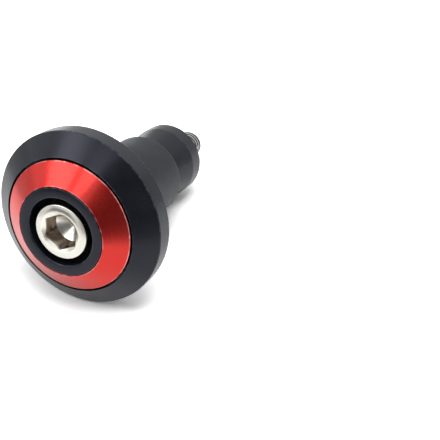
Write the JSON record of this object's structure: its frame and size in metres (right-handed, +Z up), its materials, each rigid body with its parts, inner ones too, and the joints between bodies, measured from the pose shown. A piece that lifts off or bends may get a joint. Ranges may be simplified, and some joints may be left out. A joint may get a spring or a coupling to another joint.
{
  "type": "handlebar end weight",
  "caption": "Handlebar end weight: a coned black disc with a red accent ring, held in the bar's bore by a socket screw that draws a taper nut into a rubber sleeve.",
  "frame": {"origin": "centre of the disc's back face, where the end of the bar seats, on the axis of the plug", "axes": "+Y along the axis from the face into the bar, +Z up, the face looks to -Y"},
  "size_m": [0.0324, 0.0546, 0.0324],
  "materials": {
    "black_anodised": "satin black anodised, turned",
    "red_anodised": "satin red anodised, turned",
    "bright_steel": "bright stainless",
    "sleeve_rubber": "matte moulded rubber"
  },
  "bodies": {
    "weight": {"end_body": "black_anodised", "accent_ring": "red_anodised", "expander_sleeve": "sleeve_rubber"},
    "screw": {"clamp_screw": "bright_steel"},
    "nut": {"taper_nut": "black_anodised"}
  },
  "joints": [
    {"name": "screw_turn", "type": "hinge", "parent": "weight", "child": "screw", "pos_m": [0, 0, 0], "axis": [0, 1, 0], "range_deg": [0, 1440]},
    {"name": "nut_draw", "type": "slide", "parent": "weight", "child": "nut", "axis": [0, -1, 0], "range_m": [0, 0.004], "deforming": ["expander_sleeve"]}
  ],
  "couplings": [
    {"joint": "nut_draw", "follows": "screw_turn", "m_per_rad": 0.00015915}
  ]
}
